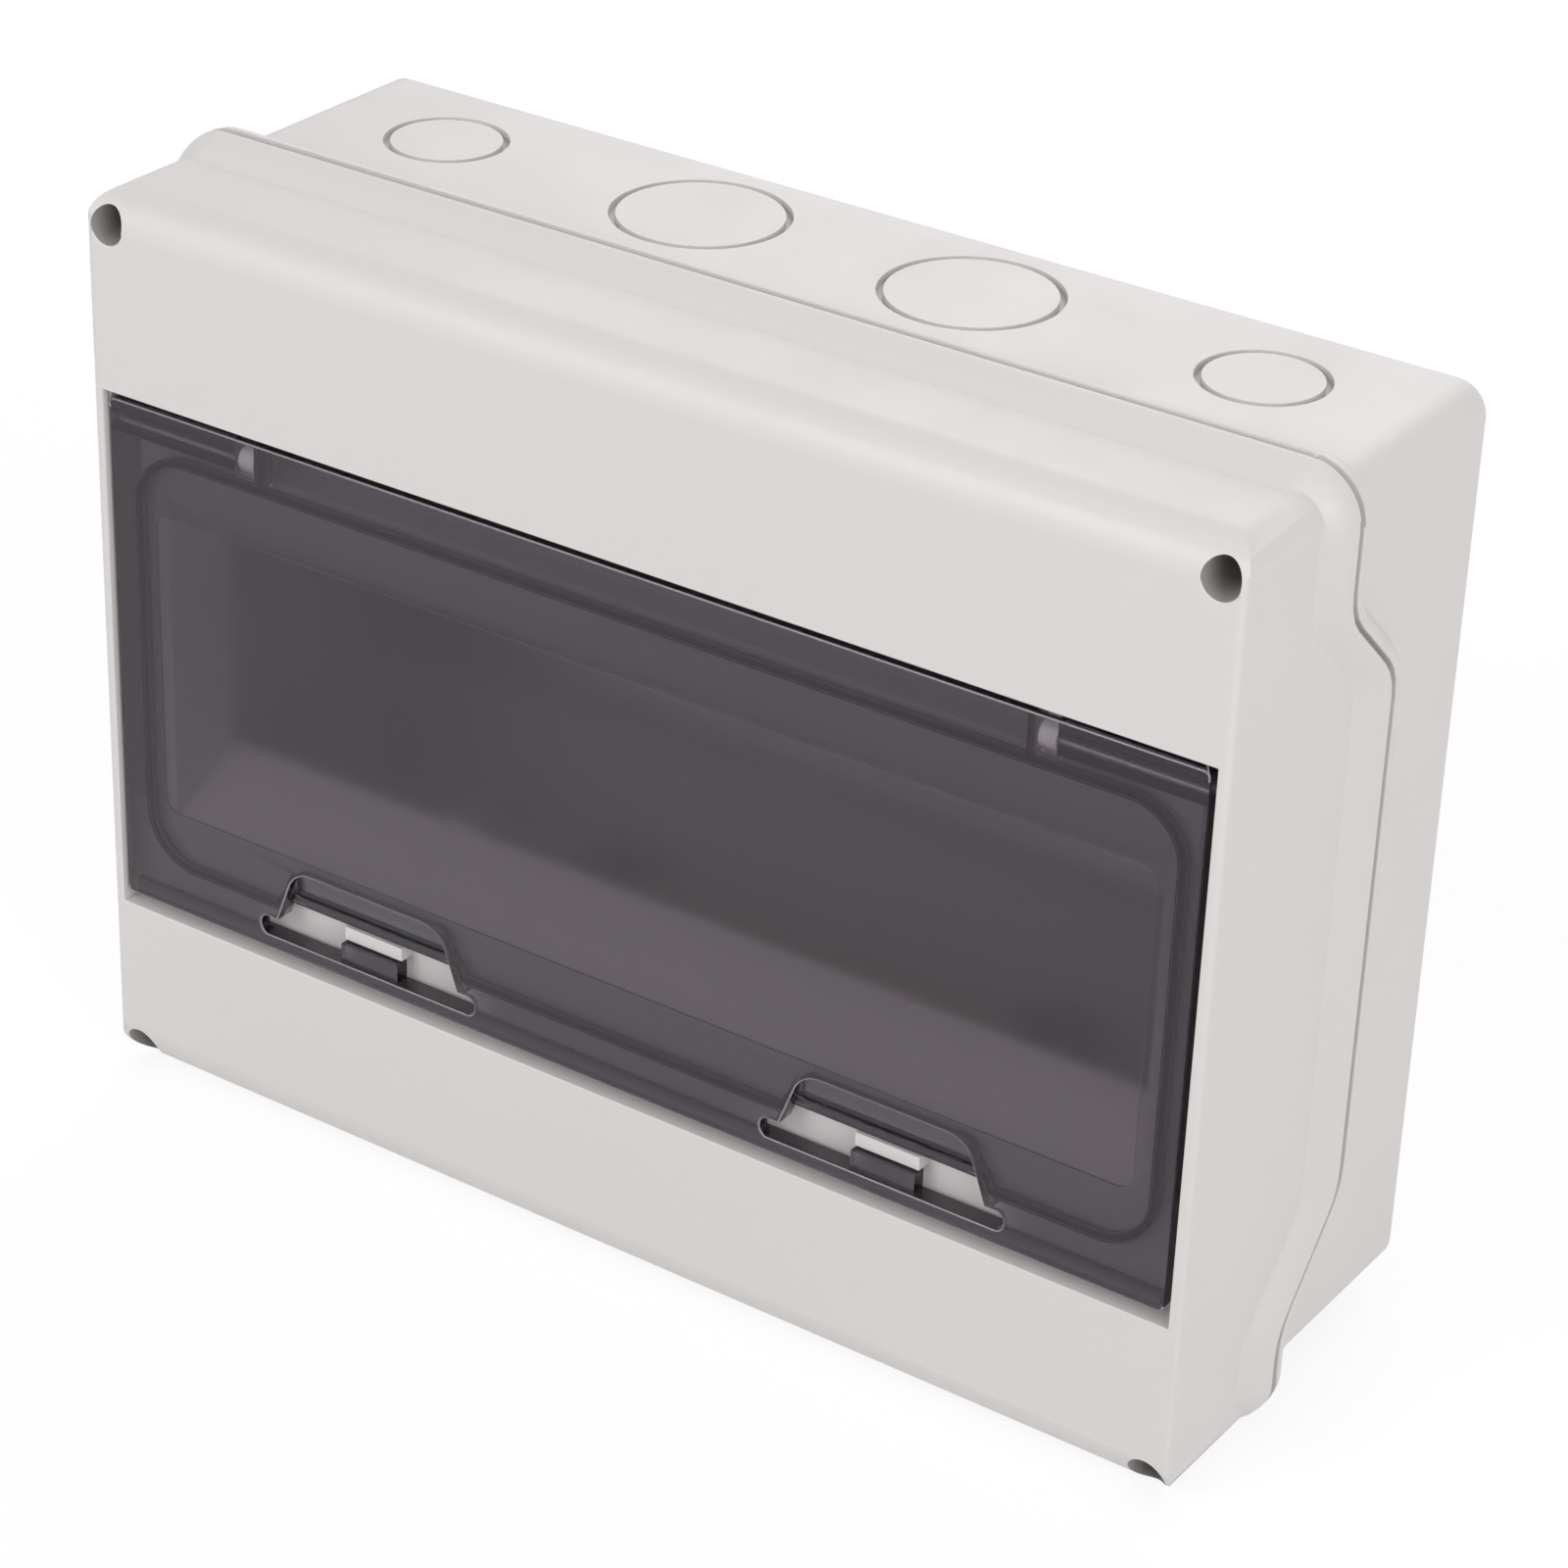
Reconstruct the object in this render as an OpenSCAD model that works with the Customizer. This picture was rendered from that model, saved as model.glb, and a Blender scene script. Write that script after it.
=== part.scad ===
// Weatherproof surface box for one row of DIN rail modules, with a smoked door.
// The origin is the centre of the back face, on the wall. +X is to the right as seen
// from the front, +Y points into the wall and +Z is up. All lengths are in millimetres.
// A "depth" is measured backwards from the front face of the cover.

/* [Modules] */
// Number of module ways in the row
module_ways = 12; // [10:1:16]
// Width of one module way
module_pitch = 18; // [17.5:0.1:18.5]
// Height of the slot that the module noses come through
slot_h = 45.5; // [44:0.5:50]
// Depth of the rear edge of the slot
slot_depth = 20; // [17:0.5:24]

/* [Window] */
// Distance from the end of the slot to the side of the window
window_side = 14; // [12:0.5:18]
// Height of the window
window_h = 112.4; // [108:0.2:124]
// Distance of the window's centre below the centre of the box
window_drop = 2.5; // [0:0.5:5]
// Depth of the ledge that the door closes onto
floor_depth = 6.5; // [6.2:0.1:8]
// Height of the sloping mouth around the slot
mouth_h = 70; // [56:1:76]
// Depth of the hinge trough and of the side channels
trough_depth = 13; // [12.5:0.5:15]

/* [Housing] */
// Height of the box without its flange
box_h = 185; // [176:1:220]
// Distance from the front of the cover to the wall
depth = 87; // [82:1:120]
// Thickness of the moulded walls
wall = 2.5; // [2:0.1:3]
// Corner radius of the outline
corner_r = 6; // [5.4:0.2:8]
// Width of the cover beside the window
cover_strip = 2.5; // [2.2:0.1:5]
// Distance that the cover stands out past the base at the top and the sides
cover_step = 1.5; // [0.8:0.1:2]
// Corner radius of the cover's outline
cover_r = 6; // [5.6:0.2:6.6]
// Rounding of the cover's top front edge
round_top = 8; // [6:0.5:9]
// Rounding of the cover's side front edges
round_side = 1.4; // [1:0.1:2]
// Rounding of the cover's bottom front edge
round_bottom = 10; // [7:0.5:11]

/* [Seam] */
// Depth of the seam along the top, the bottom and the corners
seam_end = 33; // [31:0.2:38]
// Depth of the seam along the middle of each side
seam_mid = 51.9; // [44:0.2:54]
// Height at which the upper wave leaves the corner level
wave_top_outer = 70; // [66:0.5:74]
// Height at which the upper wave reaches the middle level
wave_top_inner = 52.5; // [46:0.5:56]
// Height of the lower wave's middle end, below the centre
wave_low_inner = 54.5; // [46:0.5:58]
// Height of the lower wave's corner end, below the centre
wave_low_outer = 76.5; // [70:0.5:78]
// Open gap between the rims of the cover and the base
seam_gap = 1.6; // [1:0.1:2]
// Distance that the flange stands out past the base
flange_out = 5; // [4.5:0.1:6]
// Width of the flange on each side of the seam
flange_reach = 10; // [8:0.5:11]
// Radius of the hollow fillet where the flange runs out into a wall
flange_fillet = 4; // [2:0.5:5]
// Width of the groove that holds the cover gasket
groove_w = 3; // [2.6:0.1:3.2]
// Depth of that groove
groove_h = 3; // [2.4:0.2:4]

/* [Cover screws] */
// Distance from the upper screws' axes to the side of the cover and the top of the base
screw_inset = 5; // [4.9:0.1:5.6]
// Diameter of the screw wells
well_d = 7.6; // [7.4:0.1:7.8]
// Depth of the seat that the screw heads pull down on
well_depth = 27; // [25:0.5:27.5]
// Diameter of the screw heads
head_d = 6.8; // [6:0.1:7]
// Height of the screw heads
head_h = 2.6; // [2:0.1:3.4]
// Diameter of the screw shanks
shank_d = 4; // [3.5:0.1:4.2]
// Length of the screw shanks
shank_l = 11; // [9:0.5:11]

/* [Knockouts] */
// Diameter of the two middle knockouts
knock_big_d = 33.4; // [25:0.2:40]
// Diameter of the two outer knockouts
knock_small_d = 23.2; // [16:0.2:28]
// Distance between the centres of the middle knockouts
knock_big_gap = 60; // [50:1:64]
// Distance from the side of the base to the outer knockouts' centres
knock_small_inset = 32.7; // [26:0.5:36]
// Depth of all knockout centres
knock_depth = 65.3; // [64:0.1:66]
// Width of the thinned ring around each knockout
knock_groove_w = 1.4; // [0.8:0.1:1.6]
// Wall left under the thinned ring
knock_skin = 0.9; // [0.6:0.1:1.2]

/* [Door] */
// Clear gap between the door and the window at the top and bottom
door_gap = 2.2; // [1.8:0.1:2.6]
// Clear gap between the door and the window at the sides
door_side = 1; // [0.8:0.1:2]
// Depth of the door's front surface
door_set = 1; // [0.6:0.1:1.2]
// Thickness of the door plate
door_t = 2.6; // [2.2:0.1:2.8]
// Corner radius of the door
door_r = 1.6; // [1:0.1:2.5]
// Distance from the sides of the window to the sealing rib
rib_side = 5.3; // [4:0.1:6]
// Distance from the top and bottom of the window to the sealing rib
rib_end = 10.8; // [10.6:0.1:13]
// Thickness of the ribs
rib_t = 1.8; // [1.4:0.1:2.2]
// Outer corner radius of the sealing rib
rib_r = 12; // [8:0.5:14]
// Width of the thinned panel
panel_w = 223; // [190:1:224]
// Height of the thinned panel
panel_h = 65; // [50:1:66]
// Thickness taken off the back of the panel
panel_cut = 0.4; // [0.2:0.1:0.6]
// Height of the thick bar along the bottom edge
bar_h = 3; // [2.6:0.1:3.6]
// Depth from front to back of that bar
bar_t = 4; // [3.6:0.1:4.2]

/* [Finger pulls] */
// Distance between the centres of the two pulls
pull_gap = 120; // [104:1:124]
// Width of a pull at its foot
pull_w = 44.8; // [40:0.2:48]
// Width of a pull at its top, where its sides would meet it without the shoulders
pull_top_w = 35.6; // [30:0.2:38]
// Height of the arch above the slit
pull_h = 12.5; // [11:0.1:13]
// Radius of the arch's shoulders
shoulder_r = 6; // [3:0.5:7]
// Height of the slit along the foot of a pull
slit_h = 4; // [3:0.1:4.4]
// Width of the slit
slit_w = 53.2; // [50:0.2:56]
// Distance that the sealing rib steps up behind a pull
rib_lift = 2.3; // [1.5:0.1:3]
// Thickness of the guard wall
guard_t = 1.3; // [1:0.1:1.6]

/* [Latch] */
// Width of the latch tongue on the cover
latch_w = 14; // [10:0.5:18]
// Thickness of the latch tongue
latch_t = 2.8; // [2:0.1:3]
// Clearance between the tongue and the lug on the door
latch_clear = 0.4; // [0.3:0.05:0.6]
// Depth of the front of the tongue
latch_front = 3.4; // [3:0.1:4]

/* [Hinge] */
// Depth of the hinge axis
hinge_depth = 5.2; // [5:0.1:5.6]
// Distance of the hinge axis below the top of the window
hinge_drop = 6.5; // [6.4:0.1:7]
// Diameter of the hinge pins
pin_d = 3; // [2.6:0.1:3.2]
// Running clearance around a pin, on the radius
pin_clear = 0.06; // [0.03:0.01:0.09]
// Outer diameter of the door's knuckles
knuckle_d = 5.8; // [5.2:0.1:6]
// Distance from the side of the window to the inner face of the hinge lug
lug_inset = 35.5; // [28:0.5:40]
// Thickness of the hinge lug
lug_t = 3.6; // [3:0.1:4]
// Clear gap at each end of a knuckle
knuckle_gap = 0.5; // [0.3:0.1:0.8]
// Depth of the blind hole that holds the outer end of a pin
pin_hole = 1.8; // [1.2:0.1:2.2]

/* [Module rail] */
// Depth of the front face of the rail
rail_depth = 67; // [65:0.5:68]
// Width of the rail over its flanges
rail_w = 35; // [35:1:36]
// Height of the rail's hat
rail_hat = 7.5; // [7.5:0.5:8]
// Width of the rail's channel
rail_channel = 27; // [25:0.5:27]
// Thickness of the rail
rail_t = 1; // [0.8:0.1:1.2]
// Distance that the rail reaches past the slot at each end
rail_over = 2; // [0:0.5:4]
// Length of the slots in the rail
rail_slot_l = 15; // [10:0.5:16]
// Width of the slots in the rail
rail_slot_w = 5.2; // [4.6:0.1:6]
// Distance between rail slots
rail_slot_pitch = 25; // [20:1:25]

/* [Terminal bars] */
// Number of terminals on each bar
terminals = 12; // [6:1:14]
// Distance between terminals
terminal_pitch = 7.6; // [7.4:0.1:8.5]
// Height of each bar, top to bottom
bar_w = 9; // [8:0.5:10]
// Thickness of each bar, front to back
bar_d = 8; // [7.6:0.2:9]
// Diameter of the wire holes
wire_d = 4.4; // [4:0.1:4.6]
// Diameter of the terminal screws
term_screw_d = 4; // [3.4:0.1:4.4]
// Distance from the bottom of the box to the lower bar's centre line
bars_inset = 28; // [24:1:32]
// Height of the holders under the bars
holder_h = 16; // [12:1:20]
// Width of each holder
holder_w = 12; // [10:0.5:14]
// Length of each holder's foot
holder_foot = 26; // [24:0.5:28]

/* [Wall fixing] */
// Distance between the wall holes, side to side
wall_hole_x = 200; // [180:1:204]
// Distance between the wall holes, top to bottom
wall_hole_z = 140; // [130:1:146]
// Diameter of the wall holes
wall_hole_d = 5.4; // [4.5:0.1:6]
// Diameter of the raised boss around each wall hole
wall_boss_d = 13; // [11:0.5:15]
// Height of those bosses
wall_boss_h = 1.5; // [1:0.1:2.5]

/* [Hidden] */
$fn = 64;

housing_grey = [0.84, 0.83, 0.82];
smoke = [0.27, 0.26, 0.29, 0.6];
rubber_black = [0.08, 0.08, 0.09];
zinc = [0.72, 0.74, 0.76];
brass = [0.78, 0.62, 0.3];
neutral_blue = [0.16, 0.36, 0.68];
earth_green = [0.2, 0.55, 0.3];

margin = 1;                 // how far a cutter runs past the face that it opens
far = 400;                  // longer than any side of the box
touch = 0.3;                // gap between parts that move against each other
thread_clear = 0.05;        // gap between a screw's shank and its hole, on the radius

slot_w = module_ways * module_pitch;
window_w = slot_w + 2 * window_side;
cover_w = window_w + 2 * cover_strip;
base_w = cover_w - 2 * cover_step;
half_w = base_w / 2;
half_h = box_h / 2;
cover_top = half_h + cover_step;
flange_proud = 0.4;         // how far the flange stands out past the bottom of the cover
cover_low = flange_proud - half_h - flange_out;
window_z = -window_drop;
window_top = window_z + window_h / 2;
window_low = window_z - window_h / 2;
screw_x = cover_w / 2 - screw_inset;
screw_rise = half_h - screw_inset - window_z;   // screws lie evenly about the window
inside_back = depth - wall;
post_d = well_d + 3.2;

// y of a depth measured from the front face of the cover
function at(d) = d - depth;

// ---- swept directions -------------------------------------------------------------

// Extrudes an outline drawn in X and Z from one depth to another
module by_depth(from, to)
    translate([0, at(to), 0])
        rotate([90, 0, 0])
            linear_extrude(to - from)
                children();

// Extrudes a profile drawn in Y and Z from one x to another
module by_width(from, to)
    translate([from, 0, 0])
        rotate([90, 0, 90])
            linear_extrude(to - from)
                children();

// Extrudes a plan drawn in X and Y from one z to another
module by_height(from, to)
    translate([0, 0, from])
        linear_extrude(to - from)
            children();

// A hole or pin parallel to Y
module rod_y(x, z, from, to, d)
    translate([x, at(to), z])
        rotate([90, 0, 0])
            cylinder(d = d, h = to - from);

// A hole or pin parallel to X
module rod_x(from, to, dep, z, d)
    translate([from, at(dep), z])
        rotate([0, 90, 0])
            cylinder(d = d, h = to - from);

module rounded(w, h, r) {
    square([w - 2 * r, h], center = true);
    square([w, h - 2 * r], center = true);
    for (x = [-1, 1], z = [-1, 1])
        translate([x * (w / 2 - r), z * (h / 2 - r)])
            circle(r);
}

// ---- seam and flange --------------------------------------------------------------

wave_blend = 5;             // length over which each bend of the seam is rounded
wave_steps = 3;
seam_corners = [[-half_h - far, seam_end], [-wave_low_outer, seam_end],
    [-wave_low_inner, seam_mid], [wave_top_inner, seam_mid],
    [wave_top_outer, seam_end], [half_h + far, seam_end]];

function toward(a, b, len) = a + (b - a) * len / norm(b - a);

// A bend of the seam as a quadratic curve between two points on its legs
function bend(before, tip, after) =
    let (p = toward(tip, before, wave_blend), q = toward(tip, after, wave_blend))
    [for (i = [0 : wave_steps]) let (t = i / wave_steps)
        (1 - t) * (1 - t) * p + 2 * t * (1 - t) * tip + t * t * q];

// The seam seen from the side, as [height, depth] points from bottom to top
seam_line = concat([seam_corners[0]],
    [for (i = [1 : 4]) each bend(seam_corners[i - 1], seam_corners[i], seam_corners[i + 1])],
    [seam_corners[5]]);

// Everything in front of the seam, moved back by a shift
module ahead_of_seam(shift)
    by_width(-far, far)
        polygon(concat([for (p = seam_line) [at(p[1] + shift), p[0]]],
            [[-far, half_h + far], [-far, -half_h - far]]));

// A slab that follows the seam between two shifts
module seam_slab(from, to)
    by_width(-far, far)
        polygon(concat([for (p = seam_line) [at(p[1] + from), p[0]]],
            [for (i = [len(seam_line) - 1 : -1 : 0])
                [at(seam_line[i][1] + to), seam_line[i][0]]]));

module base_outline(inset, r)
    rounded(base_w - 2 * inset, box_h - 2 * inset, r);

module cover_outline(inset)
    translate([0, (cover_top + cover_low) / 2])
        rounded(cover_w - 2 * inset, cover_top - cover_low - 2 * inset, cover_r - inset);

// A closed ring along the seam: between two insets from the base outline and two shifts
module seam_ring(outer, outer_r, inner, inner_r, from, to)
    intersection() {
        by_depth(seam_end + from - margin, seam_mid + to + margin)
            difference() {
                base_outline(outer, outer_r);
                base_outline(inner, inner_r);
            }
        seam_slab(from, to);
    }

// Joined pieces of the flange line up exactly because their points are whole hundredths
function fine(v) = round(v * 100) / 100;

flange_root = 0.6;          // how deep the flange is rooted in the walls
flange_steps = 3;

// Half of the flange's section as [distance from the seam, distance out] points: from its
// foot on a wall at height foot, up a hollow fillet and over a round crest
function flange_half(foot) =
    let (rise = flange_out - foot, turn = 2 * atan(rise / flange_reach),
        crest_r = flange_reach / sin(turn) - flange_fillet)
    concat([for (i = [1 : flange_steps]) let (a = turn * i / flange_steps)
            [fine(flange_reach - flange_fillet * sin(a)),
                fine(foot + flange_fillet * (1 - cos(a)))]],
        [for (i = [flange_steps - 1 : -1 : 0]) let (a = turn * i / flange_steps)
            [fine(crest_r * sin(a)), fine(flange_out - crest_r * (1 - cos(a)))]]);

flange_front = flange_half(cover_step);
flange_back = flange_half(0);

// The whole section as [shift from the seam, distance out] points
flange_section = concat([[-flange_reach, -flange_root]], [for (f = flange_front) [-f[0], f[1]]],
    [for (i = [2 * flange_steps - 2 : -1 : 0]) flange_back[i]], [[flange_reach, -flange_root]]);
flat_z = half_h - corner_r;

// The seam down one side between the corners, as [height, depth] points
side_line = concat([[-flat_z, seam_end]],
    [for (i = [1 : len(seam_line) - 2]) [fine(seam_line[i][0]), fine(seam_line[i][1])]],
    [[flat_z, seam_end]]);

// The flange along the right side: its section carried up along the wave of the seam
module flange_side() {
    n = len(flange_section);
    top = (len(side_line) - 1) * n;
    polyhedron(
        points = [for (p = side_line, f = flange_section)
            [half_w + f[1], at(p[1]) + f[0], p[0]]],
        faces = concat([[for (j = [0 : n - 1]) j]], [[for (j = [n - 1 : -1 : 0]) top + j]],
            [for (i = [0 : len(side_line) - 2], j = [0 : n - 1])
                [i * n + j, (i + 1) * n + j, (i + 1) * n + (j + 1) % n, i * n + (j + 1) % n]]));
}

// The rounded band that stands out all round and follows the wave of the seam
module flange() {
    for (side = [0, 1])
        mirror([side, 0, 0]) {
            flange_side();
            for (end = [0, 1])
                mirror([0, 0, end])
                    translate([half_w - corner_r, at(seam_end), -flat_z])
                        rotate([-90, 0, 0])
                            rotate_extrude(angle = 90)
                                polygon([for (f = flange_section) [corner_r + f[1], f[0]]]);
        }
    for (end = [0, 1])
        mirror([0, 0, end])
            by_width(-half_w + corner_r, half_w - corner_r)
                polygon([for (f = flange_section) [at(seam_end + f[0]), half_h + f[1]]]);
}

module at_cover_screws()
    for (x = [-1, 1], z = [-1, 1])
        translate([x * screw_x, 0, window_z + z * screw_rise])
            children();

// ---- base -------------------------------------------------------------------------

base_front = seam_end + seam_gap / 2;
rim_in = 8.2;               // inset of the inner edge of both sealing rims
rim_r = 10;                 // corner radius of that edge
gasket_in = 4;              // inset of the gasket groove
gasket_r = 14;              // outer corner radius of the groove
lip_out = 3.4;              // distance of the drip lip's outer face out of the base outline
lip_t = 1;
screw_end = well_depth + shank_l;

module knockout_ring(x, d)
    translate([x, at(knock_depth), 0])
        difference() {
            cylinder(d = d + knock_groove_w, h = box_h + margin, center = true);
            cylinder(d = d - knock_groove_w, h = box_h + 2 * margin, center = true);
        }

rail_z = window_z;
rail_back = rail_depth + rail_hat;
rail_screw_x = 3.5 * rail_slot_pitch;
rail_screw_d = 3.4;
rail_head_d = 7;
rail_head_h = 2.4;
rail_screw_end = inside_back - 2;
post_w = 16;
post_r = 2;

bar_screws_w = terminals * terminal_pitch;
bar_l = bar_screws_w + 2 * holder_w;
holder_x = (bar_screws_w + holder_w) / 2;
holder_pad = 2;             // height of the pads that the holders stand on
holder_back = inside_back - holder_pad;
holder_front = holder_back - holder_h;
holder_wall = 1.6;
holder_foot_t = 3;
foot_in = bar_w / 2 + holder_wall;
foot_out = holder_foot - foot_in;
holder_screw_off = (foot_out + foot_in) / 2;
holder_screw_d = 3;
holder_screw_l = 4;
holder_head_d = 5.6;
holder_head_h = 2;

// The two rows of terminal bars: above (side = 1) and below (side = -1) the rail
function bar_z(side) = rail_z + side * (half_h - bars_inset + rail_z);

module base()
    color(housing_grey)
        difference() {
            union() {
                difference() {
                    union() {
                        by_depth(base_front - margin, depth)
                            base_outline(0, corner_r);
                        flange();
                    }
                    by_depth(0, inside_back)
                        base_outline(wall, corner_r - wall);
                }
                seam_ring(wall - margin, corner_r - wall + margin, rim_in, rim_r,
                    0, seam_gap / 2 + groove_h + wall);
                seam_ring(lip_t - lip_out, corner_r, wall, corner_r - wall, 0, groove_h);
                for (x = [-1, 1])
                    by_depth(rail_back, inside_back + margin)
                        translate([x * rail_screw_x, rail_z])
                            rounded(post_w, rail_channel - 2 * rail_t - post_r, post_r);
                for (x = [-1, 1], z = [-1, 1])
                    rod_y(x * wall_hole_x / 2, z * wall_hole_z / 2,
                        inside_back - wall_boss_h, depth - margin, wall_boss_d);
                for (x = [-1, 1], side = [-1, 1])
                    by_depth(holder_back, depth - margin)
                        translate([x * holder_x,
                                bar_z(side) + side * (foot_out - foot_in) / 2])
                            square([holder_w + 2, holder_foot + 2], center = true);
                intersection() {
                    at_cover_screws()
                        rod_y(0, 0, base_front - margin, screw_end + 3, post_d);
                    by_depth(0, depth)
                        base_outline(touch, corner_r - touch);
                }
            }
            difference() {
                ahead_of_seam(seam_gap / 2);
                intersection() {
                    by_depth(0, far)
                        difference() {
                            base_outline(-lip_out, corner_r + lip_out);
                            base_outline(lip_t - lip_out, corner_r + lip_out - lip_t);
                        }
                    seam_slab(-lip_up, far / 2);
                }
            }
            seam_ring(gasket_in, gasket_r, gasket_in + groove_w, gasket_r - groove_w,
                -margin, seam_gap / 2 + groove_h);
            difference() {
                for (x = [-1, 1]) {
                    knockout_ring(x * knock_big_gap / 2, knock_big_d);
                    knockout_ring(x * (half_w - knock_small_inset), knock_small_d);
                }
                cube([far, far, box_h - 2 * (wall - knock_skin)], center = true);
            }
            for (x = [-1, 1], z = [-1, 1])
                rod_y(x * wall_hole_x / 2, z * wall_hole_z / 2, 0, depth + margin, wall_hole_d);
            at_cover_screws()
                rod_y(0, 0, 0, screw_end + margin, shank_d + 2 * pin_clear);
            for (x = [-1, 1])
                rod_y(x * rail_screw_x, rail_z, rail_back - margin, inside_back,
                    rail_screw_d + 2 * thread_clear);
            for (x = [-1, 1], side = [-1, 1])
                rod_y(x * holder_x, bar_z(side) + side * holder_screw_off, holder_back - margin,
                    depth - margin, holder_screw_d + 2 * thread_clear);
        }

lip_up = seam_gap / 2 + 0.8;        // how far the drip lip reaches into the cover's rim

// A soft ring that stands proud of the groove and fills the gap under the cover
module cover_gasket()
    color(rubber_black)
        seam_ring(gasket_in + thread_clear, gasket_r - thread_clear,
            gasket_in + groove_w - thread_clear, gasket_r - groove_w + thread_clear,
            touch - seam_gap / 2, seam_gap / 2 + groove_h);

// ---- module rail ------------------------------------------------------------------

rail_l = slot_w + 2 * rail_over;

module din_rail()
    color(zinc)
        difference() {
            by_width(-rail_l / 2, rail_l / 2)
                translate([at(rail_depth), rail_z])
                    difference() {
                        union() {
                            translate([0, -rail_w / 2])
                                square([rail_t, rail_w]);
                            translate([0, -rail_channel / 2])
                                square([rail_hat, rail_channel]);
                        }
                        translate([-margin, rail_t - rail_channel / 2])
                            square([rail_hat - rail_t + margin, rail_channel - 2 * rail_t]);
                    }
            for (i = [-3.5 : 1 : 3.5])
                by_depth(rail_depth, rail_back + margin)
                    translate([i * rail_slot_pitch, rail_z])
                        rounded(rail_slot_l, rail_slot_w, rail_slot_w / 2 - thread_clear);
        }

// A pan head screw parallel to Y, with a cross recess
module pan_screw(x, z, seat, head, head_len, shank, shank_len)
    difference() {
        union() {
            rod_y(x, z, seat - head_len, seat, head);
            rod_y(x, z, seat - margin, seat + shank_len, shank);
        }
        for (turn = [0, 90])
            translate([x, at(seat - head_len), z])
                rotate([0, turn, 0])
                    cube([head * 0.62, head_len, head * 0.16], center = true);
    }

module rail_screws()
    color(zinc)
        for (x = [-1, 1])
            pan_screw(x * rail_screw_x, rail_z, rail_back - rail_t, rail_head_d, rail_head_h,
                rail_screw_d, rail_screw_end - rail_back + rail_t);

// ---- terminal bars ----------------------------------------------------------------

wire_depth = holder_front + bar_d - 1 - wire_d / 2;
head_out = 1.5;             // how far the terminal screws stand out of the bar

module at_terminals(side)
    for (i = [0 : terminals - 1])
        translate([(i - (terminals - 1) / 2) * terminal_pitch, 0, bar_z(side)])
            children();

module terminal_bar(side)
    color(brass)
        difference() {
            by_depth(holder_front, holder_front + bar_d)
                translate([0, bar_z(side)])
                    square([bar_l, bar_w], center = true);
            at_terminals(side) {
                rod_y(0, 0, holder_front - margin, wire_depth,
                    term_screw_d + 2 * thread_clear);
                translate([0, at(wire_depth), 0])
                    cylinder(d = wire_d, h = bar_w + 2 * margin, center = true);
            }
        }

module terminal_screws(side)
    color(zinc)
        at_terminals(side)
            difference() {
                rod_y(0, 0, holder_front - head_out, wire_depth - wire_d / 2, term_screw_d);
                translate([0, at(holder_front - head_out), 0])
                    cube([term_screw_d + margin, 2, 0.9], center = true);
            }

module bar_holder(side, x, paint)
    color(paint)
        difference() {
            union() {
                by_depth(holder_front, holder_back)
                    translate([x * holder_x, bar_z(side)])
                        square([holder_w, bar_w + 2 * holder_wall], center = true);
                by_depth(holder_back - holder_foot_t, holder_back)
                    translate([x * holder_x, bar_z(side) + side * (foot_out - foot_in) / 2])
                        square([holder_w, holder_foot], center = true);
            }
            by_depth(holder_front - margin, holder_front + bar_d)
                translate([0, bar_z(side)])
                    square([far, bar_w + 2 * thread_clear], center = true);
            rod_y(x * holder_x, bar_z(side) + side * holder_screw_off, 0, depth,
                holder_screw_d + 0.6);
        }

module holder_screws(side)
    color(zinc)
        for (x = [-1, 1])
            pan_screw(x * holder_x, bar_z(side) + side * holder_screw_off,
                holder_back - holder_foot_t, holder_head_d, holder_head_h, holder_screw_d,
                holder_screw_l);

// ---- cover ------------------------------------------------------------------------

// The cover's outside, or its inside with an inset: an outline with its front edges
// rounded in three ways
module cover_block(inset) {
    top = round_top - inset;
    low = round_bottom - inset;
    side = max(round_side - inset, 0);
    middle = (cover_top + cover_low) / 2;
    intersection() {
        by_depth(inset, far)
            cover_outline(inset);
        by_width(-cover_w, cover_w)
            union() {
                translate([at(round_top), middle])
                    square([far, cover_top + margin - middle]);
                translate([at(round_bottom), cover_low - margin])
                    square([far, middle + margin - cover_low]);
                translate([at(inset), cover_low + round_bottom])
                    square([far, cover_top - cover_low - round_top - round_bottom]);
                translate([at(round_top), cover_top - round_top])
                    circle(top);
                translate([at(round_bottom), cover_low + round_bottom])
                    circle(low);
            }
        by_height(cover_low, cover_top)
            union() {
                translate([-cover_w / 2, at(inset + side)])
                    square([cover_w, far]);
                translate([inset + side - cover_w / 2, at(inset)])
                    square([cover_w - 2 * inset - 2 * side, far]);
                if (side > 0)
                    for (x = [-1, 1])
                        translate([x * (cover_w / 2 - inset - side), at(inset + side)])
                            circle(side);
            }
    }
}

mouth_side = 3.4;           // how much wider the mouth is than the slot at each end
channel_w = rib_side - 0.6;
channel_low = window_z - mouth_h / 2 + 1;
hinge_z = window_top - hinge_drop;
trough_low = hinge_z - knuckle_d / 2 - 0.7;

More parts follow.
